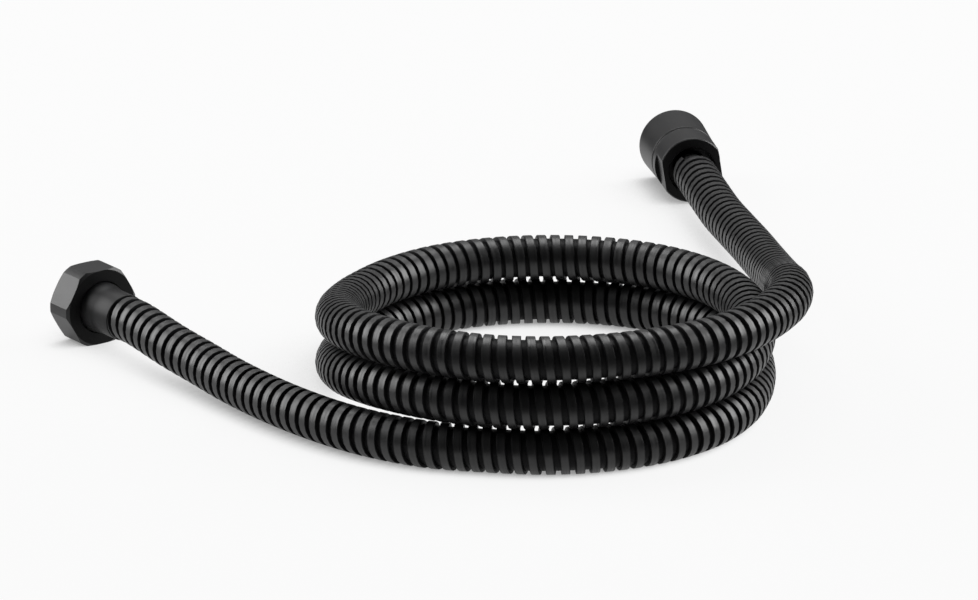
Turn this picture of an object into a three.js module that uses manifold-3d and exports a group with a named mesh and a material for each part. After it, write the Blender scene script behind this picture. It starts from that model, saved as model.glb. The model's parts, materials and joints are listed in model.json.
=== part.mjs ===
// Flexible shower hose, lying coiled on the floor: a spiral wound metal jacket over a rubber inner hose,
// with a hexagon nut on the end for the wall outlet and a conical nut on the end for the handset.
// Millimetres, +Z up. The origin is the middle of the floor area that the coiled hose covers.

import * as THREE from "three";
import { mergeVertices } from "three/addons/utils/BufferGeometryUtils.js";
import Module from "manifold-3d";

const wasm = await Module();
wasm.setup();

// Gap between pieces that seat on each other, and between a nut and what it turns on
const seatGap = 0.3;
const turningGap = 0.35;

// Hose
const jacketRadius = 7;
const jacketWall = 1.4;
const jacketSides = 12;
const innerHoseWall = 1;
const innerHoseSides = 10;
const jacketToInnerHose = 0.4;
const tubeSteps = 78;

// Coil: three turns that lie on each other, a little flatter on one side than a circle
const coilRadius = 66.75;
const coilFlattening = 3.57;
const coilSkew = 0.91;
const coilSquareness = 0.9;
const coilStartAngle = -105;
const coilEndAngle = 645;
const coilAngleStep = 15;
const riseStartAngle = 141;
const riseSpan = 100;
const riseEvery = 358;
const coilMiddle = [35.8, -73.11];
const straightPastFitting = 6;

// Stretch from the wall end to the coil: x, y and the height above the hose's place on the floor
const wallTail = [
  [-112.75, 16.55, 2.9],
  [-103.35, 4.65, 1.5],
  [-94.95, -6.85, 0.5],
  [-86.25, -18.45, 0.05],
  [-78.35, -28.65, 0],
  [-70.15, -38.05, 0],
  [-61.95, -46.25, 0],
  [-53.25, -53.45, 0],
  [-43.75, -59.45, 0],
  [-33.65, -64.15, 0],
];

// Stretch from the top of the coil to the handset end
const handsetTail = [
  [29.65, -62.35, 28],
  [42.45, -55.25, 27.95],
  [52.95, -46.05, 27.7],
  [60.65, -35.35, 27.3],
  [66.65, -23.55, 26.65],
  [71.2, -11.55, 26.2],
  [73.25, 0.45, 25.25],
  [73.2, 14, 23.05],
  [73.25, 28, 18.75],
  [73.8, 43, 14.05],
  [73.2, 59, 10.05],
  [71.35, 76, 7.25],
  [68.8, 94, 5.25],
  [65.6, 112, 4.15],
  [61.65, 130, 3.5],
  [57.5, 148, 3.2],
  [54, 165, 3.7],
];

// Union end: thread bore, sealing washer and hose nipple, alike at both ends
const threadBoreRadius = 9.75;
const washerThickness = 1.8;
const washerHoleRadius = 5.5;
const flangeThickness = 1.1;
const nippleBoreRadius = 2.8;
const nippleTailRadius = 3.6;
const barbHeight = 0.22;
const barbCount = 3;
const barbPitch = 4;
const nippleTailPastFerrule = 3;

// Wall end: hexagon nut with turned corners, on a flared ferrule
const wallNutRearCentre = [-136.05, 48.55];
const wallNutHeading = -53.13;
const wallNutAcrossFlats = 23.6;
const wallNutCornerRadius = 12.85;
const wallNutLength = 10;
const wallNutRearWall = 1.5;
const cornerChamfer = 0.6;
const cornerChamferStep = 0.1;
const ferruleShown = 13;
const ferruleFlare = 0.75;
const ferruleCollarLength = 1.5;
const ferruleFlareLength = 5.5;
const ferruleFlareSteps = 4;
const ferruleMouthStep = 0.2;

// Handset end: conical nut with a groove and two wrench flats, over a hidden ferrule
const handsetNutRearCentre = [49.15, 189.45];
const handsetNutHeading = -79.57;
const handsetNutLength = 31.5;
const handsetNutFrontRadius = 11.5;
const handsetNutWaistRadius = 10.9;
const handsetNutRingLength = 11.8;
const grooveWidth = 1.2;
const grooveDepth = 0.5;
const socketDepth = 13;
const hiddenFerruleRadius = 7.9;
const rearLipLength = 5;
const rearLipGap = 0.5;
const wrenchFlatDistance = 9.5;
const wrenchFlatLength = 8;
const wrenchFlatRoll = 9;
const rimChamfer = 0.4;
const frontRimDrop = 0.5;
const frontRimLength = 1.2;

const turnedSegments = 36;

// Sizes that follow from the ones above
const jacketBoreRadius = jacketRadius - jacketWall;
const innerHoseRadius = jacketBoreRadius - jacketToInnerHose;
const innerHoseBoreRadius = innerHoseRadius - innerHoseWall;
const ferruleBoreRadius = innerHoseRadius + seatGap;
const ferruleHeadRadius = jacketRadius + ferruleFlare;
const ferruleMouthRadius = jacketRadius + ferruleMouthStep;
const flangeRadius = threadBoreRadius - 2 * seatGap;
const washerRadius = threadBoreRadius - 1.5 * seatGap;
const turnRise = 2 * jacketRadius;

// Places along each end's axis, counted from the nut's open face
function endLayout(shoulder, ferruleEnd) {
  const flangeBack = shoulder - seatGap;
  const flangeFront = flangeBack - flangeThickness;
  const washerBack = flangeFront - seatGap;
  return {
    shoulder,
    flangeBack,
    flangeFront,
    washerBack,
    washerFront: washerBack - washerThickness,
    ferruleEnd,
    jacketStart: ferruleEnd + seatGap,
    nippleEnd: ferruleEnd + nippleTailPastFerrule,
  };
}

const wallEnd = endLayout(wallNutLength - wallNutRearWall, wallNutLength + ferruleShown);
const handsetEnd = endLayout(socketDepth, handsetNutLength - rearLipLength - seatGap);

const finishes = {
  jacket: new THREE.MeshStandardMaterial({ color: 0x2b2b2c, roughness: 0.5, metalness: 0.6 }),
  coated: new THREE.MeshStandardMaterial({ color: 0x2e2e2f, roughness: 0.55, metalness: 0.5 }),
  brass: new THREE.MeshStandardMaterial({ color: 0xb5954f, roughness: 0.35, metalness: 1 }),
  rubber: new THREE.MeshStandardMaterial({ color: 0x1a1a1a, roughness: 0.8, metalness: 0 }),
};

// Geometry helpers

function smoothStep(value) {
  const t = THREE.MathUtils.clamp(value, 0, 1);
  return t * t * (3 - 2 * t);
}

// Ring turned about the Z axis from a closed outline of [radius, distance] points
function turned(outline) {
  const closed = [...outline, outline[0]].map(([radius, distance]) => new THREE.Vector2(radius, distance));
  return new THREE.LatheGeometry(closed, turnedSegments).rotateX(Math.PI / 2);
}

function toSolid(geometry) {
  const bare = geometry.clone();
  bare.deleteAttribute("normal");
  bare.deleteAttribute("uv");
  const merged = mergeVertices(bare, 1e-5);
  return new wasm.Manifold(
    new wasm.Mesh({
      numProp: 3,
      vertProperties: new Float32Array(merged.attributes.position.array),
      triVerts: new Uint32Array(merged.index.array),
    }),
  );
}

function toGeometry(solid) {
  const mesh = solid.getMesh();
  const geometry = new THREE.BufferGeometry();
  geometry.setAttribute("position", new THREE.BufferAttribute(mesh.vertProperties, mesh.numProp));
  geometry.setIndex(new THREE.BufferAttribute(mesh.triVerts, 1));
  return geometry;
}

function polygonPoints(radius, sides, turn = 0) {
  return Array.from({ length: sides }, (_, i) => {
    const angle = turn + (2 * Math.PI * i) / sides;
    return new THREE.Vector2(radius * Math.cos(angle), radius * Math.sin(angle));
  });
}

function subPart(name, geometry, finish) {
  const mesh = new THREE.Mesh(geometry, finish);
  mesh.name = name;
  return mesh;
}

// Frame of one end: local Z runs level from the nut's open face towards the hose, and local Y points up
function endFrame(rearCentre, heading, nutLength) {
  const angle = THREE.MathUtils.degToRad(heading);
  const direction = new THREE.Vector3(Math.cos(angle), Math.sin(angle), 0);
  const up = new THREE.Vector3(0, 0, 1);
  const side = up.clone().cross(direction);
  const openFace = rearCentre.clone().addScaledVector(direction, -nutLength);
  const frame = new THREE.Group();
  frame.quaternion.setFromRotationMatrix(new THREE.Matrix4().makeBasis(side, up, direction));
  frame.position.copy(openFace);
  frame.userData.at = (distance) => openFace.clone().addScaledVector(direction, distance);
  return frame;
}

// The pieces that both ends share

function washer(layout) {
  return turned([
    [washerHoleRadius, layout.washerFront],
    [washerRadius, layout.washerFront],
    [washerRadius, layout.washerBack],
    [washerHoleRadius, layout.washerBack],
  ]);
}

// Flanged nipple with a barbed tail that the inner hose is pushed onto
function nipple(layout) {
  const barbs = [];
  const firstBarb = layout.nippleEnd - barbCount * barbPitch;
  for (let i = 0; i < barbCount; i += 1) {
    const foot = firstBarb + i * barbPitch;
    barbs.push([nippleTailRadius, foot], [nippleTailRadius + barbHeight, foot + barbHeight]);
  }
  return turned([
    [nippleBoreRadius, layout.flangeFront],
    [flangeRadius, layout.flangeFront],
    [flangeRadius, layout.flangeBack],
    [nippleTailRadius, layout.flangeBack],
    ...barbs,
    [nippleTailRadius, layout.nippleEnd],
    [nippleBoreRadius, layout.nippleEnd],
  ]);
}

// Wall end

function wallNut() {
  const cornerStart = wallNutAcrossFlats / 2 + cornerChamferStep;
  const mouth = threadBoreRadius + rimChamfer;
  const rearHole = ferruleHeadRadius + turningGap;
  const limits = turned([
    [mouth, 0],
    [cornerStart, 0],
    [wallNutCornerRadius, cornerChamfer],
    [wallNutCornerRadius, wallNutLength - cornerChamfer],
    [cornerStart, wallNutLength],
    [rearHole, wallNutLength],
    [rearHole, wallEnd.shoulder],
    [threadBoreRadius, wallEnd.shoulder],
    [threadBoreRadius, rimChamfer],
  ]);
  const outline = new THREE.Shape(polygonPoints(wallNutAcrossFlats / Math.sqrt(3), 6));
  const prism = new THREE.ExtrudeGeometry(outline, { depth: wallNutLength, bevelEnabled: false });
  return toGeometry(toSolid(prism).intersect(toSolid(limits)));
}

// Ferrule with a wide collar that holds the nut, narrowing to the hose's width
function wallFerrule() {
  const flareStart = wallNutLength + ferruleCollarLength;
  const flare = Array.from({ length: ferruleFlareSteps + 1 }, (_, i) => {
    const share = i / ferruleFlareSteps;
    const radius = THREE.MathUtils.lerp(ferruleHeadRadius, ferruleMouthRadius, smoothStep(share));
    return [radius, flareStart + share * ferruleFlareLength];
  });
  return turned([
    [ferruleBoreRadius, wallEnd.shoulder],
    [ferruleHeadRadius, wallEnd.shoulder],
    ...flare,
    [ferruleMouthRadius, wallEnd.ferruleEnd - ferruleMouthStep],
    [jacketRadius, wallEnd.ferruleEnd],
    [ferruleBoreRadius, wallEnd.ferruleEnd],
  ]);
}

// Handset end

function handsetNut() {
  const grooveEnd = handsetNutLength - handsetNutRingLength;
  const grooveStart = grooveEnd - grooveWidth;
  const rearLipRadius = jacketRadius + rearLipGap;
  const sleeveRadius = hiddenFerruleRadius + seatGap;
  const lipStart = handsetEnd.jacketStart;
  const body = turned([
    [threadBoreRadius + rimChamfer, 0],
    [handsetNutFrontRadius - frontRimDrop, 0],
    [handsetNutFrontRadius, frontRimLength],
    [handsetNutWaistRadius, grooveStart],
    [handsetNutWaistRadius - grooveDepth, grooveStart],
    [handsetNutWaistRadius - grooveDepth, grooveEnd],
    [handsetNutWaistRadius, grooveEnd],
    [handsetNutWaistRadius, handsetNutLength - rimChamfer],
    [handsetNutWaistRadius - rimChamfer, handsetNutLength],
    [rearLipRadius + rimChamfer, handsetNutLength],
    [rearLipRadius, handsetNutLength - rimChamfer],
    [rearLipRadius, lipStart],
    [sleeveRadius, lipStart],
    [sleeveRadius, handsetEnd.shoulder],
    [threadBoreRadius, handsetEnd.shoulder],
    [threadBoreRadius, rimChamfer],
  ]);
  return toGeometry(wrenchFlatCuts().reduce((solid, cut) => solid.subtract(cut), toSolid(body)));
}

// Two blocks that cut the parallel wrench flats, one on each side
function wrenchFlatCuts() {
  const reach = handsetNutFrontRadius;
  const past = 1;
  return [0, 180].map((side) => {
    const block = new THREE.BoxGeometry(reach, 2 * reach, wrenchFlatLength + past);
    block.translate(wrenchFlatDistance + reach / 2, 0, handsetNutLength - (wrenchFlatLength - past) / 2);
    block.rotateZ(THREE.MathUtils.degToRad(side + wrenchFlatRoll));
    return toSolid(block);
  });
}

function handsetFerrule() {
  return turned([
    [ferruleBoreRadius, handsetEnd.shoulder],
    [hiddenFerruleRadius, handsetEnd.shoulder],
    [hiddenFerruleRadius, handsetEnd.ferruleEnd - ferruleMouthStep],
    [hiddenFerruleRadius - ferruleMouthStep, handsetEnd.ferruleEnd],
    [ferruleBoreRadius, handsetEnd.ferruleEnd],
  ]);
}

// Route of the hose

// A turn climbs one hose diameter over a short stretch and lies level for the rest.
// The upper climb starts a little sooner than the one below it, which keeps the two apart on the slope.
function coilHeight(angle) {
  const climbs = [riseStartAngle, riseStartAngle + riseEvery];
  const levels = climbs.map((start) => smoothStep((angle - start) / riseSpan));
  return jacketRadius + turnRise * (levels[0] + levels[1]);
}

function coilPoint(angle) {
  const phi = THREE.MathUtils.degToRad(angle);
  const radius =
    coilRadius -
    coilFlattening * Math.cos(2 * phi) +
    coilSkew * Math.sin(2 * phi) -
    coilSquareness * Math.cos(4 * phi);
  return new THREE.Vector3(radius * Math.cos(phi), radius * Math.sin(phi), coilHeight(angle));
}

function coilPoints() {
  const count = Math.round((coilEndAngle - coilStartAngle) / coilAngleStep);
  return Array.from({ length: count + 1 }, (_, i) => coilPoint(coilStartAngle + i * coilAngleStep));
}

function onFloor([x, y, lift]) {
  return new THREE.Vector3(x, y, jacketRadius + lift);
}

// The whole route, straight inside each fitting
function hoseRoute(wallFrame, handsetFrame) {
  const straight = [0, 0.5, 1];
  const wallStart = straight.map((share) =>
    wallFrame.userData.at(THREE.MathUtils.lerp(wallEnd.shoulder, wallEnd.jacketStart, share)),
  );
  const handsetStart = straight.map((share) =>
    handsetFrame.userData.at(THREE.MathUtils.lerp(handsetEnd.shoulder, handsetEnd.jacketStart, share)),
  );
  const points = [
    ...wallStart,
    wallFrame.userData.at(wallEnd.jacketStart + straightPastFitting),
    ...wallTail.map(onFloor),
    ...coilPoints(),
    ...handsetTail.map(onFloor),
    handsetFrame.userData.at(handsetNutLength + straightPastFitting),
    ...handsetStart.reverse(),
  ];
  const route = new THREE.CatmullRomCurve3(points, false, "centripetal");
  route.arcLengthDivisions = 50 * tubeSteps;
  return route;
}

// The same route, stepped at chosen distances so that two tubes bend at the same places
class SteppedRoute extends THREE.Curve {
  constructor(route, distances) {
    super();
    this.route = route;
    this.shares = distances.map((distance) => distance / route.getLength());
  }

  getPointAt(u, target) {
    return this.route.getPointAt(this.shareAt(u), target);
  }

  getTangentAt(u, target) {
    return this.route.getTangentAt(this.shareAt(u), target);
  }

  // The section stays upright all the way, with a flat side above and below
  computeFrenetFrames(segments) {
    const frames = { tangents: [], normals: [], binormals: [] };
    for (let i = 0; i <= segments; i += 1) {
      const tangent = this.getTangentAt(i / segments);
      const side = new THREE.Vector3(0, 0, 1).cross(tangent).normalize();
      frames.tangents.push(tangent);
      frames.normals.push(side);
      frames.binormals.push(tangent.clone().cross(side));
    }
    return frames;
  }

  shareAt(u) {
    const place = u * (this.shares.length - 1);
    const step = Math.min(Math.floor(place), this.shares.length - 2);
    return THREE.MathUtils.lerp(this.shares[step], this.shares[step + 1], place - step);
  }
}

// Hollow tube of many flat sides that follows the route
function tubeAlong(route, distances, outerRadius, boreRadius, sides) {
  const turn = Math.PI / sides;
  const section = new THREE.Shape(polygonPoints(outerRadius, sides, turn));
  section.holes.push(new THREE.Path(polygonPoints(boreRadius, sides, turn)));
  return new THREE.ExtrudeGeometry(section, {
    steps: distances.length - 1,
    extrudePath: new SteppedRoute(route, distances),
  });
}

// Assembly, around the middle of the coil

const assembly = new THREE.Group();
assembly.position.set(coilMiddle[0], coilMiddle[1], 0);

const wallFrame = endFrame(
  new THREE.Vector3(...wallNutRearCentre, wallNutAcrossFlats / 2),
  wallNutHeading,
  wallNutLength,
);
wallFrame.add(
  subPart("wall_nut", wallNut(), finishes.coated),
  subPart("wall_washer", washer(wallEnd), finishes.rubber),
  subPart("wall_nipple", nipple(wallEnd), finishes.brass),
  subPart("wall_ferrule", wallFerrule(), finishes.coated),
);

const handsetFrame = endFrame(
  new THREE.Vector3(...handsetNutRearCentre, handsetNutFrontRadius),
  handsetNutHeading,
  handsetNutLength,
);
handsetFrame.add(
  subPart("handset_nut", handsetNut(), finishes.coated),
  subPart("handset_washer", washer(handsetEnd), finishes.rubber),
  subPart("handset_nipple", nipple(handsetEnd), finishes.brass),
  subPart("handset_ferrule", handsetFerrule(), finishes.coated),
);

const route = hoseRoute(wallFrame, handsetFrame);
const routeLength = route.getLength();
const jacketFrom = wallEnd.jacketStart - wallEnd.shoulder;
const jacketTo = routeLength - (handsetEnd.jacketStart - handsetEnd.shoulder);
const jacketDistances = Array.from({ length: tubeSteps + 1 }, (_, i) =>
  THREE.MathUtils.lerp(jacketFrom, jacketTo, i / tubeSteps),
);
const innerHoseDistances = [0, ...jacketDistances, routeLength];

assembly.add(
  subPart(
    "outer_jacket",
    tubeAlong(route, jacketDistances, jacketRadius, jacketBoreRadius, jacketSides),
    finishes.jacket,
  ),
  subPart(
    "inner_hose",
    tubeAlong(route, innerHoseDistances, innerHoseRadius, innerHoseBoreRadius, innerHoseSides),
    finishes.rubber,
  ),
  wallFrame,
  handsetFrame,
);

export default assembly;
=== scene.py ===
import json
import math

import bmesh
import bpy
from mathutils import Matrix, Vector


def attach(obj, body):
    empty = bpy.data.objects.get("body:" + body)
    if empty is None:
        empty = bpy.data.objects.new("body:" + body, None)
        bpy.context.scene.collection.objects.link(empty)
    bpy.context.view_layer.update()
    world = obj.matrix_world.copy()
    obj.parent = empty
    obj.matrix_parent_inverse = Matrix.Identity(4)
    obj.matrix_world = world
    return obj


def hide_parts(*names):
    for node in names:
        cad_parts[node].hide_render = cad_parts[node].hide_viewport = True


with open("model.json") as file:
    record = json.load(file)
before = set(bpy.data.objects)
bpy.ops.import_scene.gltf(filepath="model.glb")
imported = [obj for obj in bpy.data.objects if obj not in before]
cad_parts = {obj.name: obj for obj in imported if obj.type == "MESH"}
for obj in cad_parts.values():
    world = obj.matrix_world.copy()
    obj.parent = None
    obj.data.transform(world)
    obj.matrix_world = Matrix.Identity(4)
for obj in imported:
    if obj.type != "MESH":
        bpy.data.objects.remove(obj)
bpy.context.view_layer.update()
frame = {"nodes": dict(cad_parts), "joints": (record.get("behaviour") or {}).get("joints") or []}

up = Vector((0, 0, 1))


# Camera: long lens, slightly from above, looking along +Y

view = {
    "coilMiddle": Vector((0.03445, -0.07416, 0)),
    "tilt": math.radians(18.462),
    "distance": 2.198,
    "across": -0.015777,
    "above": 0.029079,
    "lens": 268.5,
    "sensorWidth": 36,
    "farClip": 50,
}

forward = Vector((0, math.cos(view["tilt"]), -math.sin(view["tilt"])))
cameraUp = Vector((0, math.sin(view["tilt"]), math.cos(view["tilt"])))
cameraData = bpy.data.cameras.new("camera")
cameraData.lens = view["lens"]
cameraData.sensor_width = view["sensorWidth"]
cameraData.clip_end = view["farClip"]
camera = bpy.data.objects.new("camera", cameraData)
camera.location = (
    view["coilMiddle"]
    + Vector((view["across"], 0, 0))
    + cameraUp * view["above"]
    - forward * view["distance"]
)
camera.rotation_euler = (math.pi / 2 - view["tilt"], 0, 0)
bpy.context.scene.collection.objects.link(camera)
bpy.context.scene.camera = camera
print("camera placed")


# Route of the hose, the same points as its solids follow

route = {
    "middle": Vector((0.0358, -0.07311, 0)),
    "hoseRadius": 0.007,
    "coilRadius": 0.06675,
    "flattening": 0.00357,
    "skew": 0.00091,
    "squareness": 0.0009,
    "firstAngle": -105,
    "lastAngle": 645,
    "angleStep": 15,
    "riseStart": 141,
    "riseEvery": 358,
    "riseSpan": 100,
    "straightPastFitting": 0.006,
    "pointSpacing": 0.0015,
}

wallTail = [
    (-0.11275, 0.01655, 0.0099),
    (-0.10335, 0.00465, 0.0085),
    (-0.09495, -0.00685, 0.0075),
    (-0.08625, -0.01845, 0.00705),
    (-0.07835, -0.02865, 0.007),
    (-0.07015, -0.03805, 0.007),
    (-0.06195, -0.04625, 0.007),
    (-0.05325, -0.05345, 0.007),
    (-0.04375, -0.05945, 0.007),
    (-0.03365, -0.06415, 0.007),
]

handsetTail = [
    (0.02965, -0.06235, 0.035),
    (0.04245, -0.05525, 0.03495),
    (0.05295, -0.04605, 0.0347),
    (0.06065, -0.03535, 0.0343),
    (0.06665, -0.02355, 0.03365),
    (0.0712, -0.01155, 0.0332),
    (0.07325, 0.00045, 0.03225),
    (0.0732, 0.014, 0.03005),
    (0.07325, 0.028, 0.02575),
    (0.0738, 0.043, 0.02105),
    (0.0732, 0.059, 0.01705),
    (0.07135, 0.076, 0.01425),
    (0.0688, 0.094, 0.01225),
    (0.0656, 0.112, 0.01115),
    (0.06165, 0.130, 0.0105),
    (0.0575, 0.148, 0.0102),
    (0.054, 0.165, 0.0107),
]

# Places along each end's axis, from the nut's open face towards the hose
wallEnd = {
    "joint": "wall_nut_swivel",
    "nutLength": 0.010,
    "shoulder": 0.0085,
    "washer": (0.005, 0.0068),
    "flange": (0.0071, 0.0082),
    "ferruleEnd": 0.023,
    "jacketStart": 0.0233,
    "nippleEnd": 0.026,
}

handsetEnd = {
    "joint": "handset_nut_swivel",
    "nutLength": 0.0315,
    "shoulder": 0.013,
    "washer": (0.0095, 0.0113),
    "flange": (0.0116, 0.0127),
    "ferruleEnd": 0.0262,
    "jacketStart": 0.0265,
    "nippleEnd": 0.0292,
}


def placeEnd(end):
    joint = next(j for j in frame["joints"] if j["name"] == end["joint"])
    end["rear"] = Vector(joint["pos_m"])
    end["towardsHose"] = Vector(joint["axis"]).normalized()


def alongEnd(end, distance):
    return end["rear"] + end["towardsHose"] * (distance - end["nutLength"])


def smoothStep(value):
    t = min(max(value, 0), 1)
    return t * t * (3 - 2 * t)


def coilPoint(angle):
    phi = math.radians(angle)
    radius = (
        route["coilRadius"]
        - route["flattening"] * math.cos(2 * phi)
        + route["skew"] * math.sin(2 * phi)
        - route["squareness"] * math.cos(4 * phi)
    )
    climbs = (route["riseStart"], route["riseStart"] + route["riseEvery"])
    levels = sum(smoothStep((angle - start) / route["riseSpan"]) for start in climbs)
    height = route["hoseRadius"] * (1 + 2 * levels)
    return route["middle"] + Vector((radius * math.cos(phi), radius * math.sin(phi), height))


def smoothLine(points, stepsPerSpan=24):
    # centripetal curve through the points
    padded = [2 * points[0] - points[1], *points, 2 * points[-1] - points[-2]]
    line = []
    for before, start, end, after in zip(padded, padded[1:], padded[2:], padded[3:]):
        a = math.sqrt((start - before).length)
        b = math.sqrt((end - start).length)
        c = math.sqrt((after - end).length)
        leave = ((start - before) / a - (end - before) / (a + b) + (end - start) / b) * b
        arrive = ((end - start) / b - (after - start) / (b + c) + (after - end) / c) * b
        for i in range(stepsPerSpan):
            t = i / stepsPerSpan
            line.append(
                (2 * t**3 - 3 * t**2 + 1) * start
                + (t**3 - 2 * t**2 + t) * leave
                + (3 * t**2 - 2 * t**3) * end
                + (t**3 - t**2) * arrive
            )
    line.append(points[-1].copy())
    return line


def stretchOf(line, fromStart, fromEnd, spacing):
    # evenly spaced points of the line, without the given lengths at its two ends
    lengths = [0.0]
    for a, b in zip(line, line[1:]):
        lengths.append(lengths[-1] + (b - a).length)
    span = lengths[-1] - fromStart - fromEnd
    count = round(span / spacing)
    points = []
    place = 0
    for i in range(count + 1):
        wanted = fromStart + span * i / count
        while place < len(line) - 2 and lengths[place + 1] < wanted:
            place += 1
        share = (wanted - lengths[place]) / (lengths[place + 1] - lengths[place])
        points.append(line[place].lerp(line[place + 1], share))
    return points, span


placeEnd(wallEnd)
placeEnd(handsetEnd)
coilCount = round((route["lastAngle"] - route["firstAngle"]) / route["angleStep"])
coil = [coilPoint(route["firstAngle"] + i * route["angleStep"]) for i in range(coilCount + 1)]
wallMiddle = (wallEnd["shoulder"] + wallEnd["jacketStart"]) / 2
handsetMiddle = (handsetEnd["shoulder"] + handsetEnd["jacketStart"]) / 2
routeLine = smoothLine([
    alongEnd(wallEnd, wallEnd["shoulder"]),
    alongEnd(wallEnd, wallMiddle),
    alongEnd(wallEnd, wallEnd["jacketStart"]),
    alongEnd(wallEnd, wallEnd["jacketStart"] + route["straightPastFitting"]),
    *[route["middle"] + Vector(p) for p in wallTail],
    *coil,
    *[route["middle"] + Vector(p) for p in handsetTail],
    alongEnd(handsetEnd, handsetEnd["nutLength"] + route["straightPastFitting"]),
    alongEnd(handsetEnd, handsetEnd["jacketStart"]),
    alongEnd(handsetEnd, handsetMiddle),
    alongEnd(handsetEnd, handsetEnd["shoulder"]),
])
print("route laid out")


# Helpers for node trees

def newTree(name, kind, inputs, outputs):
    tree = bpy.data.node_groups.new(name, kind)
    for label, socketType, default in inputs:
        socket = tree.interface.new_socket(name=label, in_out="INPUT", socket_type=socketType)
        if default is not None:
            socket.default_value = default
    for label, socketType in outputs:
        tree.interface.new_socket(name=label, in_out="OUTPUT", socket_type=socketType)
    return tree


def addNode(tree, kind, inputs=None, **settings):
    node = tree.nodes.new(kind)
    for name, value in settings.items():
        setattr(node, name, value)
    for key, value in (inputs or {}).items():
        if isinstance(value, bpy.types.NodeSocket):
            tree.links.new(value, node.inputs[key])
        else:
            node.inputs[key].default_value = value
    return node


def addMath(tree, operation, *values):
    return addNode(tree, "ShaderNodeMath", dict(enumerate(values)), operation=operation).outputs[0]


def addVectorMath(tree, operation, *values):
    node = addNode(tree, "ShaderNodeVectorMath", dict(enumerate(values)), operation=operation)
    return node.outputs["Vector"]


def scaledVector(tree, vector, factor):
    node = addNode(tree, "ShaderNodeVectorMath", {0: vector, "Scale": factor}, operation="SCALE")
    return node.outputs["Vector"]


def meshFromTree(name, source, tree, values):
    # the tree's result as a plain mesh object at the origin
    modifier = source.modifiers.new("shape", "NODES")
    modifier.node_group = tree
    for item in tree.interface.items_tree:
        if item.item_type == "SOCKET" and item.in_out == "INPUT" and item.name in values:
            modifier[item.identifier] = values[item.name]
    bpy.context.view_layer.update()
    evaluated = source.evaluated_get(bpy.context.evaluated_depsgraph_get())
    mesh = bpy.data.meshes.new_from_object(evaluated)
    source.modifiers.remove(modifier)
    bpy.data.objects.remove(source)
    mesh.name = name
    piece = bpy.data.objects.new(name, mesh)
    bpy.context.scene.collection.objects.link(piece)
    return piece


def polyline(name, points, cyclic=False):
    curve = bpy.data.curves.new(name, "CURVE")
    curve.dimensions = "3D"
    spline = curve.splines.new("POLY")
    spline.points.add(len(points) - 1)
    for target, point in zip(spline.points, points):
        target.co = (*point, 1)
    spline.use_cyclic_u = cyclic
    item = bpy.data.objects.new(name, curve)
    bpy.context.scene.collection.objects.link(item)
    return item


# Materials

def grainGroup():
    # fine grain of a sprayed or moulded skin: a slight mottling, a roughness and a height
    tree = newTree(
        "surfaceGrain",
        "ShaderNodeTree",
        [
            ("Vector", "NodeSocketVector", None),
            ("Grain Scale", "NodeSocketFloat", 4000.0),
            ("Mottle Scale", "NodeSocketFloat", 160.0),
            ("Roughness", "NodeSocketFloat", 0.4),
            ("Roughness Spread", "NodeSocketFloat", 0.08),
        ],
        [
            ("Mottle", "NodeSocketFloat"),
            ("Roughness", "NodeSocketFloat"),
            ("Height", "NodeSocketFloat"),
        ],
    )
    given = addNode(tree, "NodeGroupInput").outputs
    fine = addNode(tree, "ShaderNodeTexNoise", {
        "Vector": given["Vector"], "Scale": given["Grain Scale"], "Detail": 2.0, "Roughness": 0.6,
    })
    broad = addNode(tree, "ShaderNodeTexNoise", {
        "Vector": given["Vector"], "Scale": given["Mottle Scale"], "Detail": 3.0, "Roughness": 0.55,
    })
    fineShare = 0.3
    blend = addMath(tree, "MULTIPLY", broad.outputs[0], 1 - fineShare)
    blend = addMath(tree, "MULTIPLY_ADD", fine.outputs[0], fineShare, blend)
    centred = addMath(tree, "SUBTRACT", blend, 0.5)
    spread = addMath(tree, "MULTIPLY", centred, given["Roughness Spread"])
    doubled = addMath(tree, "MULTIPLY", spread, 2.0)
    result = addMath(tree, "ADD", given["Roughness"], doubled)
    addNode(tree, "NodeGroupOutput", {"Mottle": blend, "Roughness": result, "Height": fine.outputs[0]})
    return tree


grain = grainGroup()

finishes = {
    "jacket": {
        "dark": (0.003, 0.003, 0.0032), "light": (0.009, 0.009, 0.0094), "metallic": 0.0, "gloss": 0.48,
        "roughness": 0.42, "spread": 0.10, "grainScale": 3500, "mottleScale": 220, "bump": 0.10,
        "streaks": 0.55, "markScale": (18, 1500, 1), "markTone": 0.5, "markHeight": 0.6,
    },
    "fittings": {
        "dark": (0.005, 0.005, 0.0053), "light": (0.010, 0.010, 0.0105), "metallic": 0.0, "gloss": 0.36,
        "roughness": 0.40, "spread": 0.07, "grainScale": 4200, "mottleScale": 140, "bump": 0.08,
    },
    # a darker, duller black for the nuts' flat backs: painted shade
    "shadedNutBack": {
        "dark": (0.002, 0.002, 0.0021), "light": (0.005, 0.005, 0.0052), "metallic": 0.0, "gloss": 0.12,
        "roughness": 0.50, "spread": 0.07, "grainScale": 4200, "mottleScale": 140, "bump": 0.08,
    },
    "ferrule": {
        "dark": (0.005, 0.005, 0.0053), "light": (0.010, 0.010, 0.0105), "metallic": 0.0, "gloss": 0.20,
        "roughness": 0.44, "spread": 0.07, "grainScale": 4200, "mottleScale": 140, "bump": 0.08,
    },
    "brass": {
        "dark": (0.52, 0.36, 0.15), "light": (0.74, 0.55, 0.27), "metallic": 1.0, "gloss": 0.5,
        "roughness": 0.30, "spread": 0.10, "grainScale": 2500, "mottleScale": 300, "bump": 0.05,
    },
    "rubber": {
        "dark": (0.012, 0.012, 0.012), "light": (0.024, 0.024, 0.024), "metallic": 0.0, "gloss": 0.2,
        "roughness": 0.72, "spread": 0.12, "grainScale": 3000, "mottleScale": 260, "bump": 0.15,
    },
}
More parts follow.
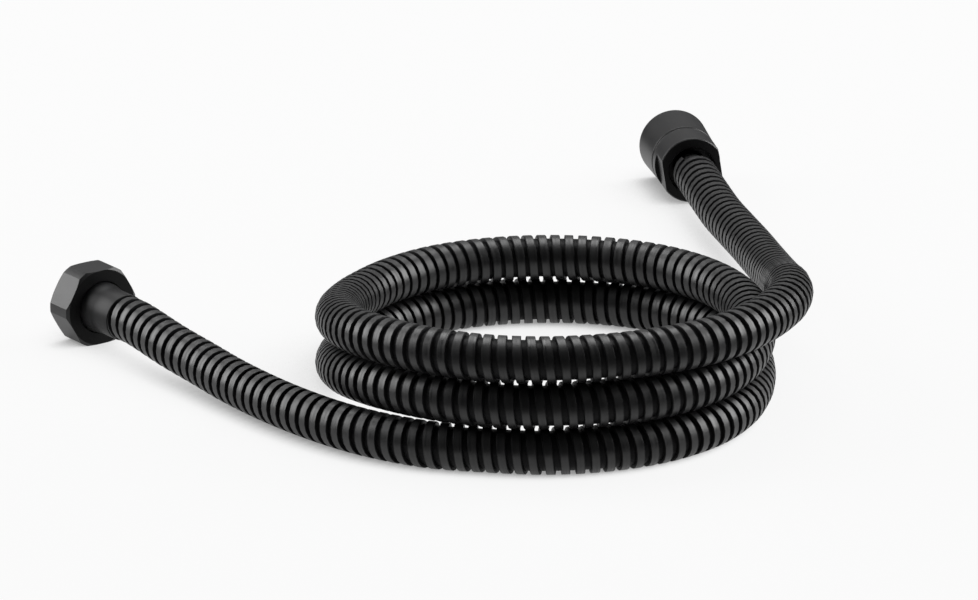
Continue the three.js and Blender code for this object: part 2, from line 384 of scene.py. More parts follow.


# The strip's crown on its map, as distances from the start of its section.
# Beside it, the groove and the strip's shoulders get a paler base, a painted fill light, and hardly shine,
# a painted shade.
crown = {
    "middle": 0.002275,
    "halfWidth": 0.00100,
    "edge": 0.00124,
    "grooveFillLight": 1.6,
    "grooveShadeGloss": 0.12,
}


def startMaterial(name, finish):
    material = bpy.data.materials.new(name)
    material.use_nodes = True
    tree = material.node_tree
    tree.nodes.clear()
    shader = addNode(tree, "ShaderNodeBsdfPrincipled", {
        "Metallic": finish["metallic"], "Specular IOR Level": finish["gloss"],
    })
    addNode(tree, "ShaderNodeOutputMaterial", {"Surface": shader.outputs["BSDF"]})
    place = addNode(tree, "ShaderNodeTexCoord")
    skin = addNode(tree, "ShaderNodeGroup", node_tree=grain)
    tree.links.new(place.outputs["Object"], skin.inputs["Vector"])
    skin.inputs["Grain Scale"].default_value = finish["grainScale"]
    skin.inputs["Mottle Scale"].default_value = finish["mottleScale"]
    skin.inputs["Roughness"].default_value = finish["roughness"]
    skin.inputs["Roughness Spread"].default_value = finish["spread"]
    return material, tree, shader, skin


def finishMaterial(tree, shader, skin, finish, mask, height):
    tone = addNode(tree, "ShaderNodeMix", {"Factor": mask}, data_type="RGBA")
    tone.inputs["A"].default_value = (*finish["dark"], 1)
    tone.inputs["B"].default_value = (*finish["light"], 1)
    tree.links.new(tone.outputs["Result"], shader.inputs["Base Color"])
    tree.links.new(skin.outputs["Roughness"], shader.inputs["Roughness"])
    bump = addNode(tree, "ShaderNodeBump", {"Strength": finish["bump"], "Distance": 0.0001})
    tree.links.new(height, bump.inputs["Height"])
    tree.links.new(bump.outputs["Normal"], shader.inputs["Normal"])


def plainSkin(name, key):
    finish = finishes[key]
    material, tree, shader, skin = startMaterial(name, finish)
    finishMaterial(tree, shader, skin, finish, skin.outputs["Mottle"], skin.outputs["Height"])
    return material


def woundSkin(name, key):
    # faint drawing marks run along the strip, beside the grain of the coating; the groove and the strip's
    # shoulders get painted fill light and painted shade
    finish = finishes[key]
    material, tree, shader, skin = startMaterial(name, finish)
    stripMap = addNode(tree, "ShaderNodeUVMap", uv_map="stripMap").outputs["UV"]
    across = addNode(tree, "ShaderNodeSeparateXYZ", {0: stripMap}).outputs["Y"]
    fromMiddle = addMath(tree, "ABSOLUTE", addMath(tree, "SUBTRACT", across, crown["middle"]))
    onCrown = addNode(tree, "ShaderNodeMapRange", {
        "Value": fromMiddle, "From Min": crown["halfWidth"], "From Max": crown["edge"],
        "To Min": 1.0, "To Max": 0.0,
    }, interpolation_type="SMOOTHSTEP").outputs["Result"]
    stretched = addNode(tree, "ShaderNodeMapping", {"Vector": stripMap, "Scale": finish["markScale"]})
    marks = addNode(tree, "ShaderNodeTexNoise", {
        "Vector": stretched.outputs["Vector"], "Scale": 1.0, "Detail": 2.0, "Roughness": 0.5,
    }).outputs[0]
    mottle = addMath(tree, "MULTIPLY", skin.outputs["Mottle"], 1 - finish["markTone"])
    mask = addMath(tree, "MULTIPLY_ADD", marks, finish["markTone"], mottle)
    grainHeight = addMath(tree, "MULTIPLY", skin.outputs["Height"], 1 - finish["markHeight"])
    height = addMath(tree, "MULTIPLY_ADD", marks, finish["markHeight"], grainHeight)
    finishMaterial(tree, shader, skin, finish, mask, height)
    # painted light and shade: a paler base and little shine in the groove and on the strip's shoulders
    paintedGrooveLight = addMath(tree, "MULTIPLY_ADD", onCrown, 1 - crown["grooveFillLight"], crown["grooveFillLight"])
    tone = shader.inputs["Base Color"].links[0].from_socket
    tree.links.new(scaledVector(tree, tone, paintedGrooveLight), shader.inputs["Base Color"])
    gloss = addMath(tree, "MULTIPLY_ADD", onCrown, 1 - crown["grooveShadeGloss"], crown["grooveShadeGloss"])
    tree.links.new(addMath(tree, "MULTIPLY", gloss, finish["gloss"]), shader.inputs["Specular IOR Level"])
    streaks = addMath(tree, "MULTIPLY", addMath(tree, "SUBTRACT", marks, 0.5), finish["streaks"])
    roughness = addMath(tree, "ADD", skin.outputs["Roughness"], streaks)
    tree.links.new(roughness, shader.inputs["Roughness"])
    return material


jacketBlack = woundSkin("jacketBlack", "jacket")
fittingBlack = plainSkin("fittingBlack", "fittings")
nutBackPaintedShade = plainSkin("nutBackPaintedShade", "shadedNutBack")
ferruleBlack = plainSkin("ferruleBlack", "ferrule")
bareBrass = plainSkin("bareBrass", "brass")
blackRubber = plainSkin("blackRubber", "rubber")
print("materials made")


# Wound jacket: one metal strip in a right hand helix, whose foot lies under the next turn

strip = {
    "pitch": 0.0042,
    "stepsPerTurn": 20,
    "outerRadius": 0.007,
    "startInFerrule": 0.018,
    "sharpAngle": 50,
}

# Section of the strip: distance along the hose and distance from its middle line
stripSection = [
    (-0.00134, 0.00600),
    (-0.00134, 0.00686),
    (-0.00130, 0.00696),
    (-0.00119, 0.00700),
    (-0.00109, 0.00700),
    (0.00109, 0.00700),
    (0.00119, 0.00700),
    (0.00130, 0.00696),
    (0.00134, 0.00686),
    (0.00134, 0.00588),
    (0.00330, 0.00588),
    (0.00330, 0.00540),
    (-0.00010, 0.00540),
    (-0.00010, 0.00600),
]


def windingTree():
    tree = newTree(
        "windStripOnHose",
        "GeometryNodeTree",
        [
            ("Geometry", "NodeSocketGeometry", None),
            ("Section", "NodeSocketObject", None),
            ("Pitch", "NodeSocketFloat", 0.0042),
            ("Steps Per Turn", "NodeSocketInt", 20),
            ("Turns", "NodeSocketFloat", 100.0),
            ("Winding Radius", "NodeSocketFloat", 0.007),
            ("Material", "NodeSocketMaterial", None),
        ],
        [("Geometry", "NodeSocketGeometry")],
    )
    given = addNode(tree, "NodeGroupInput").outputs
    hose = addNode(tree, "GeometryNodeSetCurveNormal", {"Curve": given["Geometry"]}, mode="Z_UP")

    # a line with one point for each step around the hose
    steps = addMath(tree, "MULTIPLY", given["Turns"], given["Steps Per Turn"])
    rounded = addNode(tree, "FunctionNodeFloatToInt", {0: steps}, rounding_mode="ROUND")
    counted = addMath(tree, "ADD", rounded.outputs[0], 1.0)
    line = addNode(tree, "GeometryNodeCurvePrimitiveLine", {"End": (0, 0, 1)})
    points = addNode(tree, "GeometryNodeResampleCurve", {"Curve": line.outputs["Curve"], "Count": counted})

    # each point's turn, its place along the hose and its direction outwards
    index = addNode(tree, "GeometryNodeInputIndex").outputs[0]
    turn = addMath(tree, "DIVIDE", index, given["Steps Per Turn"])
    angle = addMath(tree, "MULTIPLY", turn, math.tau)
    along = addMath(tree, "MULTIPLY", turn, given["Pitch"])
    here = addNode(tree, "GeometryNodeSampleCurve", {
        "Curves": hose.outputs["Curve"], "Length": along,
    }, mode="LENGTH")
    side = here.outputs["Normal"]
    over = addVectorMath(tree, "CROSS_PRODUCT", here.outputs["Tangent"], side)
    outwards = addVectorMath(
        tree, "ADD",
        scaledVector(tree, side, addMath(tree, "COSINE", angle)),
        scaledVector(tree, over, addMath(tree, "SINE", angle)),
    )
    reach = scaledVector(tree, outwards, given["Winding Radius"])
    place = addVectorMath(tree, "ADD", here.outputs["Position"], reach)
    helix = addNode(tree, "GeometryNodeSetPosition", {
        "Geometry": points.outputs["Curve"], "Position": place,
    })
    faced = addNode(tree, "GeometryNodeSetCurveNormal", {
        "Curve": helix.outputs["Geometry"], "Normal": outwards,
    }, mode="FREE")
    stripLength = addNode(tree, "GeometryNodeSplineParameter").outputs["Length"]
    marked = addNode(tree, "GeometryNodeStoreNamedAttribute", {
        "Geometry": faced.outputs["Curve"], "Name": "alongStrip", "Value": stripLength,
    }, data_type="FLOAT", domain="POINT")

    # the section, drawn around the winding radius
    section = addNode(tree, "GeometryNodeObjectInfo", {"Object": given["Section"]})
    sectionLength = addNode(tree, "GeometryNodeSplineParameter").outputs["Length"]
    profile = addNode(tree, "GeometryNodeStoreNamedAttribute", {
        "Geometry": section.outputs["Geometry"], "Name": "acrossStrip", "Value": sectionLength,
    }, data_type="FLOAT", domain="POINT")
    swept = addNode(tree, "GeometryNodeCurveToMesh", {
        "Curve": marked.outputs["Geometry"],
        "Profile Curve": profile.outputs["Geometry"],
        "Fill Caps": True,
    })
    facing = addNode(tree, "GeometryNodeFlipFaces", {"Mesh": swept.outputs["Mesh"]})

    # map of the surface, in metres along and across the strip
    read = "GeometryNodeInputNamedAttribute"
    readAlong = addNode(tree, read, {"Name": "alongStrip"}, data_type="FLOAT")
    readAcross = addNode(tree, read, {"Name": "acrossStrip"}, data_type="FLOAT")
    both = addNode(tree, "ShaderNodeCombineXYZ", {
        "X": readAlong.outputs[0], "Y": readAcross.outputs[0],
    })
    mapped = addNode(tree, "GeometryNodeStoreNamedAttribute", {
        "Geometry": facing.outputs["Mesh"], "Name": "stripMap", "Value": both.outputs["Vector"],
    }, data_type="FLOAT2", domain="CORNER")
    real = addNode(tree, "GeometryNodeRealizeInstances", {"Geometry": mapped.outputs["Geometry"]})
    painted = addNode(tree, "GeometryNodeSetMaterial", {
        "Geometry": real.outputs["Geometry"], "Material": given["Material"],
    })
    addNode(tree, "NodeGroupOutput", {"Geometry": painted.outputs["Geometry"]})
    return tree


def makeJacket():
    fromStart = strip["startInFerrule"] - wallEnd["shoulder"]
    fromEnd = handsetEnd["jacketStart"] - handsetEnd["shoulder"]
    line, length = stretchOf(routeLine, fromStart, fromEnd, route["pointSpacing"])
    hose = polyline("hoseLine", line)
    section = polyline(
        "stripSection",
        [(out - strip["outerRadius"], -along, 0) for along, out in stripSection],
        cyclic=True,
    )
    piece = meshFromTree("spiral_jacket", hose, windingTree(), {
        "Section": section,
        "Pitch": strip["pitch"],
        "Steps Per Turn": strip["stepsPerTurn"],
        "Turns": (length - 2 * strip["pitch"]) / strip["pitch"],
        "Winding Radius": strip["outerRadius"],
        "Material": jacketBlack,
    })
    bpy.data.objects.remove(section)
    for name in ("alongStrip", "acrossStrip"):
        attribute = piece.data.attributes.get(name)
        if attribute:
            piece.data.attributes.remove(attribute)
    return piece, line, length


def softenByAngle(mesh, degrees):
    mesh.shade_smooth()
    mesh.set_sharp_from_angle(angle=math.radians(degrees))


jacket, jacketLine, jacketLength = makeJacket()
softenByAngle(jacket.data, strip["sharpAngle"])
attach(jacket, "hose")
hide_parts("outer_jacket")
print("jacket wound:", len(jacket.data.polygons), "faces,", round(jacketLength, 4), "m")


# Inner hose: a smooth rubber tube under the jacket

innerHose = {"radius": 0.0052, "bore": 0.0042, "sides": 16, "spacing": 0.003, "sharpAngle": 40}


def tubeTree():
    tree = newTree(
        "tubeAlongHose",
        "GeometryNodeTree",
        [
            ("Geometry", "NodeSocketGeometry", None),
            ("Radius", "NodeSocketFloat", 0.0052),
            ("Bore", "NodeSocketFloat", 0.0042),
            ("Sides", "NodeSocketInt", 16),
            ("Material", "NodeSocketMaterial", None),
        ],
        [("Geometry", "NodeSocketGeometry")],
    )
    given = addNode(tree, "NodeGroupInput").outputs
    level = addNode(tree, "GeometryNodeSetCurveNormal", {"Curve": given["Geometry"]}, mode="Z_UP")
    walls = []
    for key, flip in (("Radius", False), ("Bore", True)):
        circle = addNode(tree, "GeometryNodeCurvePrimitiveCircle", {
            "Resolution": given["Sides"], "Radius": given[key],
        })
        wall = addNode(tree, "GeometryNodeCurveToMesh", {
            "Curve": level.outputs["Curve"], "Profile Curve": circle.outputs["Curve"],
        }).outputs["Mesh"]
        if flip:
            wall = addNode(tree, "GeometryNodeFlipFaces", {"Mesh": wall}).outputs["Mesh"]
        walls.append(wall)
    joined = addNode(tree, "GeometryNodeJoinGeometry")
    for wall in walls:
        tree.links.new(wall, joined.inputs[0])
    painted = addNode(tree, "GeometryNodeSetMaterial", {
        "Geometry": joined.outputs[0], "Material": given["Material"],
    })
    real = addNode(tree, "GeometryNodeRealizeInstances", {"Geometry": painted.outputs["Geometry"]})
    addNode(tree, "NodeGroupOutput", {"Geometry": real.outputs["Geometry"]})
    return tree


def makeInnerHose():
    line, length = stretchOf(routeLine, 0, 0, innerHose["spacing"])
    piece = meshFromTree("inner_tube", polyline("innerLine", line), tubeTree(), {
        "Radius": innerHose["radius"],
        "Bore": innerHose["bore"],
        "Sides": innerHose["sides"],
        "Material": blackRubber,
    })
    edit = bmesh.new()
    edit.from_mesh(piece.data)
    openEdges = [e for e in edit.edges if e.is_boundary]
    for end in (routeLine[0], routeLine[-1]):
        near = [e for e in openEdges if (e.verts[0].co - end).length < 2 * innerHose["radius"]]
        bmesh.ops.bridge_loops(edit, edges=near)  # closes the tube's wall at its two ends
    bmesh.ops.recalc_face_normals(edit, faces=edit.faces)
    edit.to_mesh(piece.data)
    edit.free()
    softenByAngle(piece.data, innerHose["sharpAngle"])
    return piece


innerTube = makeInnerHose()
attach(innerTube, "hose")
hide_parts("inner_hose")
print("inner hose laid")


# Turned pieces: each is an outline of radius and distance, turned about the end's axis

def turnedMesh(name, columns):
    # columns: an angle and a closed outline for each, with as many points in all of them
    edit = bmesh.new()
    rings = []
    for angle, outline in columns:
        x = math.cos(angle)
        y = math.sin(angle)
        rings.append([edit.verts.new((r * x, r * y, distance)) for r, distance in outline])
    size = len(rings[0])
    for here, there in zip(rings, rings[1:] + rings[:1]):
        for i in range(size):
            j = (i + 1) % size
            edit.faces.new((here[i], there[i], there[j], here[j]))
    apart = 1e-7
    bmesh.ops.remove_doubles(edit, verts=edit.verts, dist=apart)
    bmesh.ops.dissolve_degenerate(edit, edges=edit.edges, dist=apart)
    bmesh.ops.recalc_face_normals(edit, faces=edit.faces)
    mesh = bpy.data.meshes.new(name)
    edit.to_mesh(mesh)
    edit.free()
    return mesh


def evenAngles(count):
    return [math.tau * i / count for i in range(count)]


def turned(name, outline, count=96):
    return turnedMesh(name, [(angle, outline) for angle in evenAngles(count)])


def endMatrix(end):
    # local Z runs from the nut's open face towards the hose, and local Y points up
    direction = end["towardsHose"]
    side = up.cross(direction)
    axes = Matrix((side, up, direction)).transposed()
    return Matrix.Translation(alongEnd(end, 0)) @ axes.to_4x4()


def addPiece(name, mesh, end, material, body, nodes, sharpAngle=30, bevel=None):
    mesh.transform(endMatrix(end))
    mesh.materials.clear()
    mesh.materials.append(material)
    softenByAngle(mesh, sharpAngle)
    piece = bpy.data.objects.new(name, mesh)
    bpy.context.scene.collection.objects.link(piece)
    if bevel:
        modifier = piece.modifiers.new("softEdges", "BEVEL")
        modifier.width = bevel["width"]
        modifier.segments = bevel["segments"]
        modifier.limit_method = "ANGLE"
        modifier.angle_limit = math.radians(bevel["angle"])
        modifier.harden_normals = True
    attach(piece, body)
    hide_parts(*nodes)
    return piece


def paintShadeOnNutBack(mesh, end):
    # painted shade: a nut's flat back, around the hose, gets a darker and duller black that stands in for
    # the shade it lies in
    mesh.materials.append(nutBackPaintedShade)
    steepest = math.cos(math.radians(18))
    for face in mesh.polygons:
        if face.normal.dot(end["towardsHose"]) > steepest:
            face.material_index = 1


# Inside thread of both nuts, a ridge along a right hand helix

thread = {
    "pitch": 0.001814,
    "rootRadius": 0.01048,
    "crestRadius": 0.00932,
    "stepsPerTurn": 48,
    "rootWidth": 0.00150,
    "crestWidth": 0.00030,
    "sunk": 0.0001,
    "start": 0.0008,
    "endBeforeShoulder": 0.001,
}


def threadTree():
    tree = newTree(
        "threadRidge",
        "GeometryNodeTree",
        [
            ("Geometry", "NodeSocketGeometry", None),
            ("Radius", "NodeSocketFloat", 0.01),
            ("Pitch", "NodeSocketFloat", 0.0018),
            ("Turns", "NodeSocketFloat", 5.0),
            ("Steps Per Turn", "NodeSocketInt", 48),
            ("Material", "NodeSocketMaterial", None),
        ],
        [("Geometry", "NodeSocketGeometry")],
    )
    given = addNode(tree, "NodeGroupInput").outputs
    spiral = addNode(tree, "GeometryNodeCurveSpiral", {
        "Resolution": given["Steps Per Turn"],
        "Rotations": given["Turns"],
        "Start Radius": given["Radius"],
        "End Radius": given["Radius"],
        "Height": addMath(tree, "MULTIPLY", given["Turns"], given["Pitch"]),
    })
    position = addNode(tree, "GeometryNodeInputPosition").outputs[0]
    flat = addVectorMath(tree, "MULTIPLY", position, (1, 1, 0))
    inwards = scaledVector(tree, addVectorMath(tree, "NORMALIZE", flat), -1.0)
    faced = addNode(tree, "GeometryNodeSetCurveNormal", {
        "Curve": spiral.outputs["Curve"], "Normal": inwards,
    }, mode="FREE")
    swept = addNode(tree, "GeometryNodeCurveToMesh", {
        "Curve": faced.outputs["Curve"], "Profile Curve": given["Geometry"], "Fill Caps": True,
    })
    facing = addNode(tree, "GeometryNodeFlipFaces", {"Mesh": swept.outputs["Mesh"]})
    real = addNode(tree, "GeometryNodeRealizeInstances", {"Geometry": facing.outputs["Mesh"]})
    painted = addNode(tree, "GeometryNodeSetMaterial", {
        "Geometry": real.outputs["Geometry"], "Material": given["Material"],
    })
    addNode(tree, "NodeGroupOutput", {"Geometry": painted.outputs["Geometry"]})
    return tree


ridgeTree = threadTree()


def threadMesh(name, shoulder):
    # the ridge is sunk a little into the bore's wall
    start = thread["start"]
    end = shoulder - thread["endBeforeShoulder"]
    depth = thread["rootRadius"] - thread["crestRadius"]
    halfRoot = thread["rootWidth"] / 2
    halfCrest = thread["crestWidth"] / 2
    sunk = thread["sunk"]
    profile = polyline(name + "Profile", [
        (-sunk, -halfRoot, 0), (-sunk, halfRoot, 0), (depth, halfCrest, 0), (depth, -halfCrest, 0),
    ], cyclic=True)
    piece = meshFromTree(name, profile, ridgeTree, {
        "Radius": thread["rootRadius"],
        "Pitch": thread["pitch"],
        "Turns": (end - start) / thread["pitch"],
        "Steps Per Turn": thread["stepsPerTurn"],
        "Material": fittingBlack,
    })
    mesh = piece.data
    bpy.data.objects.remove(piece)
    mesh.transform(Matrix.Translation((0, 0, start)))
    return mesh


def joinMeshes(name, meshes):
    edit = bmesh.new()
    for mesh in meshes:
        edit.from_mesh(mesh)
        bpy.data.meshes.remove(mesh)
    joined = bpy.data.meshes.new(name)
    edit.to_mesh(joined)
    edit.free()
    return joined


# Hexagon nut at the wall end

hexNut = {
    "halfFlats": 0.0118,
    "cornerRadius": 0.01285,
    "cornerStart": 0.0119,
    "cornerChamfer": 0.0006,
    "mouthRadius": 0.0109,
    "rearHole": 0.0081,
    "rearChamfer": 0.0002,
    "stepsPerFlat": 10,
    "stepsPerCorner": 4,
    "bevel": {"width": 0.00018, "segments": 2, "angle": 16},
}


def hexColumns():
    # close steps where a flat meets a turned corner, even ones between
    turn = math.acos(hexNut["halfFlats"] / hexNut["cornerRadius"])
    corner = math.radians(60) - 2 * turn
    angles = []
    for k in range(6):
        middle = math.radians(30 + 60 * k)
        flatSteps = hexNut["stepsPerFlat"]
        cornerSteps = hexNut["stepsPerCorner"]
        angles += [middle - turn + 2 * turn * i / flatSteps for i in range(flatSteps)]
        angles += [middle + turn + corner * i / cornerSteps for i in range(cornerSteps)]
    return angles


def hexOutline(angle):
    length = wallEnd["nutLength"]
    nearest = math.radians(60) * math.floor(angle / math.radians(60)) + math.radians(30)
    outer = min(hexNut["halfFlats"] / math.cos(angle - nearest), hexNut["cornerRadius"])
    slope = hexNut["cornerChamfer"] / (hexNut["cornerRadius"] - hexNut["cornerStart"])
    chamfer = max(0, outer - hexNut["cornerStart"]) * slope
    face = min(outer, hexNut["cornerStart"])
    root = thread["rootRadius"]
    return [
        (hexNut["mouthRadius"], 0),
        (face, 0),
        (outer, chamfer),
        (outer, length - chamfer),
        (face, length),
        (hexNut["rearHole"] + hexNut["rearChamfer"], length),
        (hexNut["rearHole"], length - hexNut["rearChamfer"]),
        (hexNut["rearHole"], wallEnd["shoulder"]),
        (root, wallEnd["shoulder"]),
        (root, hexNut["mouthRadius"] - root),
    ]


hexBody = turnedMesh("hexBody", [(angle, hexOutline(angle)) for angle in hexColumns()])
hexThread = threadMesh("hexThread", wallEnd["shoulder"])
wallNut = addPiece(
    "hexagon_nut", joinMeshes("hexagonNut", [hexBody, hexThread]), wallEnd, fittingBlack,
    "wall_nut", ["wall_nut"], sharpAngle=16, bevel=hexNut["bevel"],
)
paintShadeOnNutBack(wallNut.data, wallEnd)
print("hexagon nut made")


# Conical nut at the handset end, with a groove and two wrench flats

coneNut = {
    "frontRadius": 0.0115,
    "frontDrop": 0.0005,
    "frontLength": 0.0012,
    "waistRadius": 0.0109,
    "grooveFrom": 0.0185,
    "grooveTo": 0.0197,
    "grooveDepth": 0.0005,
    "grooveLip": 0.0003,
    "grooveFoot": 0.0002,
    "rimChamfer": 0.0004,
    "mouthRadius": 0.01068,
    "sleeveRadius": 0.0082,
    "rearHole": 0.0075,
    "flatDistance": 0.0095,
    "flatLength": 0.008,
    "flatRoll": math.radians(9),
    "stepsPerFlat": 14,
    "stepsBetweenFlats": 30,
    "bevel": {"width": 0.00015, "segments": 2, "angle": 20},
}


def coneColumns():
    turn = math.acos(coneNut["flatDistance"] / coneNut["waistRadius"])
    angles = []
    rest = math.pi - 2 * turn
    flatSteps = coneNut["stepsPerFlat"]
    restSteps = coneNut["stepsBetweenFlats"]
    for middle in (coneNut["flatRoll"], coneNut["flatRoll"] + math.pi):
        angles += [middle - turn + 2 * turn * i / flatSteps for i in range(flatSteps)]
        angles += [middle + turn + rest * i / restSteps for i in range(restSteps)]
    return angles


def coneOutline(angle):
    length = handsetEnd["nutLength"]
    waist = coneNut["waistRadius"]
    rim = coneNut["rimChamfer"]
    across = abs(math.cos(angle - coneNut["flatRoll"]))
    flat = coneNut["flatDistance"] / max(across, 1e-6)
    root = thread["rootRadius"]
    front = coneNut["frontRadius"]
    groove = waist - coneNut["grooveDepth"]
    lip = coneNut["grooveLip"]
    foot = coneNut["grooveFoot"]
    flatStart = length - coneNut["flatLength"]
    return [
        (coneNut["mouthRadius"], 0),
        (front - coneNut["frontDrop"], 0),
        (front, coneNut["frontLength"]),
        (waist, coneNut["grooveFrom"] - lip),
        (groove, coneNut["grooveFrom"] + foot),
        (groove, coneNut["grooveTo"] - foot),
        (waist, coneNut["grooveTo"] + lip),
        (waist, flatStart),
        (min(waist, flat), flatStart),
        (min(waist, flat), length - rim),
        (min(waist - rim, flat), length),
        (coneNut["rearHole"] + rim, length),
        (coneNut["rearHole"], length - rim),
        (coneNut["rearHole"], handsetEnd["jacketStart"]),
        (coneNut["sleeveRadius"], handsetEnd["jacketStart"]),
        (coneNut["sleeveRadius"], handsetEnd["shoulder"]),
        (root, handsetEnd["shoulder"]),
        (root, coneNut["mouthRadius"] - root),
    ]


coneBody = turnedMesh("coneBody", [(angle, coneOutline(angle)) for angle in coneColumns()])
coneThread = threadMesh("coneThread", handsetEnd["shoulder"])
handsetNut = addPiece(
    "conical_nut", joinMeshes("conicalNut", [coneBody, coneThread]), handsetEnd, fittingBlack,
    "handset_nut", ["handset_nut"], sharpAngle=20, bevel=coneNut["bevel"],
)
paintShadeOnNutBack(handsetNut.data, handsetEnd)
print("conical nut made")


# Ferrule behind the hexagon nut: a collar that holds the nut and narrows to a sleeve on the jacket

ferrule = {
    "bore": 0.0055,
    "sleeveBore": 0.00704,
    "sleeveFrom": 0.0175,
    "headRadius": 0.0079,
    "mouthRadius": 0.0072,
    "flareFrom": 0.0100,
    "flareLength": 0.0050,
    "flareSteps": 10,
    "endRound": (0.00006, 0.0002),
    "bevel": {"width": 0.00008, "segments": 2, "angle": 30},
}


def ferruleOutline():
    end = wallEnd["ferruleEnd"]
    outline = [(ferrule["bore"], wallEnd["shoulder"]), (ferrule["headRadius"], wallEnd["shoulder"])]
    for i in range(ferrule["flareSteps"] + 1):
        share = i / ferrule["flareSteps"]
        drop = (ferrule["headRadius"] - ferrule["mouthRadius"]) * smoothStep(share)
        place = ferrule["flareFrom"] + share * ferrule["flareLength"]
        outline.append((ferrule["headRadius"] - drop, place))
    return outline + [
        (ferrule["mouthRadius"], end - ferrule["endRound"][1]),
        (ferrule["mouthRadius"] - ferrule["endRound"][0], end),
        (ferrule["sleeveBore"], end),
        (ferrule["sleeveBore"], ferrule["sleeveFrom"]),
        (ferrule["bore"], ferrule["sleeveFrom"]),
    ]


addPiece(
    "jacket_ferrule", turned("jacketFerrule", ferruleOutline()), wallEnd, ferruleBlack,
    "hose", ["wall_ferrule"], bevel=ferrule["bevel"],
)


# Sealing washers and barbed nipples, alike at both ends

seal = {
    "washerRadius": 0.00925,
    "washerHole": 0.0055,
    "washerRound": 0.0003,
    "flangeRadius": 0.00915,
    "nippleBore": 0.0028,
    "tailRadius": 0.0036,
    "barbHeight": 0.00022,
    "barbCount": 3,
    "barbPitch": 0.004,
    "mouthRound": 0.0003,
    "sides": 72,
    "bareFront": 0.0004,
}


def washerOutline(end):
    front, back = end["washer"]
    soft = seal["washerRound"]
    part = 0.3 * soft
    outer = seal["washerRadius"]
    hole = seal["washerHole"]
    return [
        (hole + soft, front), (outer - soft, front), (outer - part, front + part),
        (outer, front + soft), (outer, back - soft), (outer - part, back - part),
        (outer - soft, back), (hole + soft, back), (hole + part, back - part),
        (hole, back - soft), (hole, front + soft), (hole + part, front + part),
    ]


def nippleOutline(end):
    front, back = end["flange"]
    soft = seal["mouthRound"]
    tail = seal["tailRadius"]
    outline = [
        (seal["nippleBore"] + soft, front), (seal["flangeRadius"] - soft, front),
        (seal["flangeRadius"], front + soft), (seal["flangeRadius"], back), (tail, back),
    ]
    firstBarb = end["nippleEnd"] - seal["barbCount"] * seal["barbPitch"]
    for i in range(seal["barbCount"]):
        foot = firstBarb + i * seal["barbPitch"]
        outline += [(tail, foot), (tail + seal["barbHeight"], foot + seal["barbHeight"])]
    return outline + [
        (tail, end["nippleEnd"]),
        (seal["nippleBore"], end["nippleEnd"]),
        (seal["nippleBore"], front + soft),
    ]


def blackenFlangeBack(mesh, end):
    # the flange's rim and back are black, and its sealing face stays bare brass
    mesh.materials.append(fittingBlack)
    for face in mesh.polygons:
        offset = face.center - alongEnd(end, 0)
        distance = offset.dot(end["towardsHose"])
        radius = (offset - end["towardsHose"] * distance).length
        beyondFront = distance > end["flange"][0] + seal["bareFront"]
        beforeTail = distance < end["flange"][1] + 0.0001
        if beyondFront and beforeTail and radius > seal["tailRadius"]:
            face.material_index = 1


for place, end in (("wall", wallEnd), ("handset", handsetEnd)):
    addPiece(
        place + "_seal", turned(place + "Seal", washerOutline(end), seal["sides"]), end, blackRubber,
        place + "_nut", [place + "_washer"],
    )
    stem = addPiece(
        place + "_stem", turned(place + "Stem", nippleOutline(end), seal["sides"]), end, bareBrass,
        "hose", [place + "_nipple"],
    )
    blackenFlangeBack(stem.data, end)
hiddenFerrule = frame["nodes"]["handset_ferrule"]
hiddenFerrule.data.materials.clear()
hiddenFerrule.data.materials.append(ferruleBlack)
print("washers and nipples made")


# Floor and light

stage = {
    "floorColour": (0.8, 0.8, 0.8),
    "glow": (0.947, 0.947, 0.947),
    "glowShare": 0.96,
    "shades": [
        {"reach": 0.0095, "lean": (0.7, -0.15, 0.7), "from": 0.72, "softness": 1.7, "depth": 0.78},
        {"reach": 0.05, "lean": (0.66, -0.35, 0.68), "from": 0.66, "softness": 1.2, "depth": 0.65},
    ],
    "shadeSamples": 8,
    "mirroredWithin": (0.165, 0.25),
    "mirroredBeyond": 0.04,
    "reach": 6,
    "worldColour": (0.012, 0.012, 0.012),
}

softboxes = [
    {"name": "left", "place": (-1.30, 0.26, 0.70), "size": (1.2, 1.3), "power": 31},
    {"name": "right", "place": (1.32, 0.26, 0.62), "size": (1.2, 1.1), "power": 31},
    {"name": "back", "place": (0.0, 1.7, 0.75), "size": (2.4, 1.2), "power": 3},
    {"name": "top", "place": (0.0, 0.6, 1.45), "size": (1.3, 1.1), "power": 23},
]


def glowingFor(tree):
    # the whole floor for a ray from the camera,
    # its part near the object for one that mirrors or passes through
    ways = addNode(tree, "ShaderNodeLightPath").outputs
    position = addNode(tree, "ShaderNodeNewGeometry").outputs["Position"]
    away = addNode(tree, "ShaderNodeVectorMath", {0: position}, operation="LENGTH").outputs["Value"]
    near = addNode(tree, "ShaderNodeMapRange", {
        "Value": away,
        "From Min": stage["mirroredWithin"][0], "From Max": stage["mirroredWithin"][1],
        "To Min": 1.0, "To Max": stage["mirroredBeyond"],
    }, interpolation_type="SMOOTHSTEP").outputs["Result"]
    indirect = addMath(tree, "MAXIMUM", ways["Is Glossy Ray"], ways["Is Transmission Ray"])
    return ways["Is Camera Ray"], addMath(tree, "MULTIPLY", indirect, near), indirect


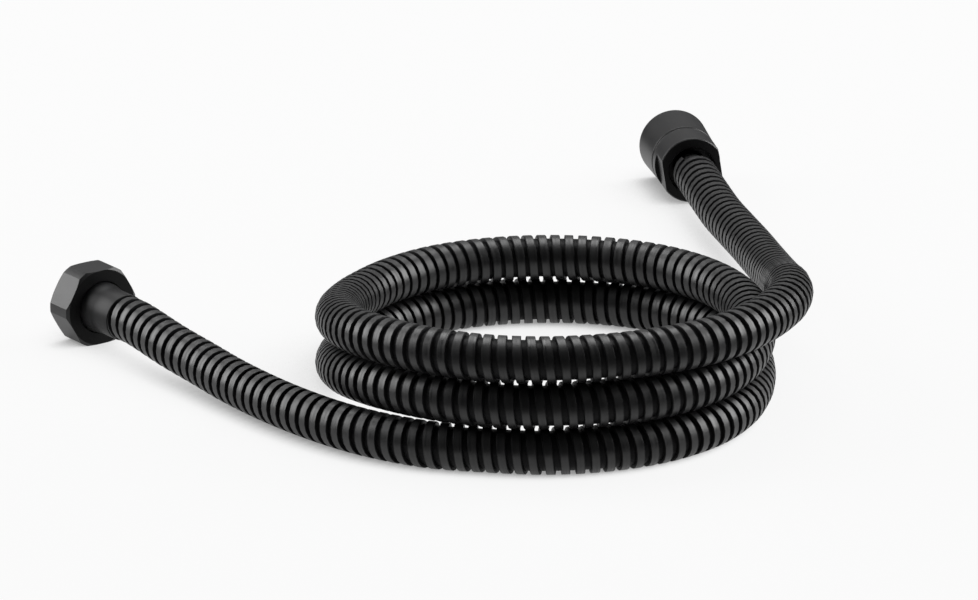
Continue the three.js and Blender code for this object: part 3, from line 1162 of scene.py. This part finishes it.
def contactShade(tree):
    # a dark shadow close around the object and a faint, wider one, both a little to its left
    shaded = 1.0
    for shade in stage["shades"]:
        lean = addNode(tree, "ShaderNodeCombineXYZ", dict(zip("XYZ", shade["lean"])))
        openness = addNode(tree, "ShaderNodeAmbientOcclusion", {
            "Distance": shade["reach"],
            "Normal": addVectorMath(tree, "NORMALIZE", lean.outputs[0]),
        }, samples=stage["shadeSamples"])
        closed = addMath(tree, "DIVIDE", openness.outputs["AO"], -shade["from"])
        closed = addMath(tree, "MAXIMUM", addMath(tree, "ADD", closed, 1.0), 0.0)
        closed = addMath(tree, "POWER", closed, shade["softness"])
        lit = addMath(tree, "MULTIPLY_ADD", closed, -shade["depth"], 1.0)
        shaded = addMath(tree, "MULTIPLY", lit, shaded)
    return shaded


def makeFloor():
    mesh = bpy.data.meshes.new("floor")
    far = stage["reach"]
    corners = [(-far, -far, 0), (far, -far, 0), (far, far, 0), (-far, far, 0)]
    mesh.from_pydata(corners, [], [(0, 1, 2, 3)])
    floor = bpy.data.objects.new("floor", mesh)
    bpy.context.scene.collection.objects.link(floor)
    material = bpy.data.materials.new("floorWhite")
    material.use_nodes = True
    tree = material.node_tree
    tree.nodes.clear()
    matte = addNode(tree, "ShaderNodeBsdfDiffuse", {"Color": (*stage["floorColour"], 1)})
    glow = addNode(tree, "ShaderNodeEmission", {"Color": (*stage["glow"], 1)})
    direct, mirrored, indirect = glowingFor(tree)
    strength = addMath(tree, "MULTIPLY", contactShade(tree), addMath(tree, "ADD", direct, mirrored))
    tree.links.new(strength, glow.inputs["Strength"])
    share = addMath(tree, "MULTIPLY", addMath(tree, "MAXIMUM", direct, indirect), stage["glowShare"])
    mixed = addNode(tree, "ShaderNodeMixShader", {0: share, 1: matte.outputs[0], 2: glow.outputs[0]})
    addNode(tree, "ShaderNodeOutputMaterial", {"Surface": mixed.outputs[0]})
    mesh.materials.append(material)


def makeWorld():
    world = bpy.data.worlds.new("studio")
    bpy.context.scene.world = world
    world.use_nodes = True
    tree = world.node_tree
    tree.nodes.clear()
    room = addNode(tree, "ShaderNodeBackground", {"Color": (*stage["worldColour"], 1), "Strength": 1.0})
    addNode(tree, "ShaderNodeOutputWorld", {"Surface": room.outputs[0]})


def makeLights():
    for box in softboxes:
        data = bpy.data.lights.new(box["name"] + "Softbox", "AREA")
        data.shape = "RECTANGLE"
        data.size = box["size"][0]
        data.size_y = box["size"][1]
        data.energy = box["power"]
        lamp = bpy.data.objects.new(box["name"] + "Softbox", data)
        lamp.location = box["place"]
        lamp.rotation_euler = (-Vector(box["place"])).to_track_quat("-Z", "Y").to_euler()
        bpy.context.scene.collection.objects.link(lamp)


makeFloor()
makeWorld()
makeLights()
bpy.context.scene.view_settings.view_transform = "Standard"
print("floor and light set")
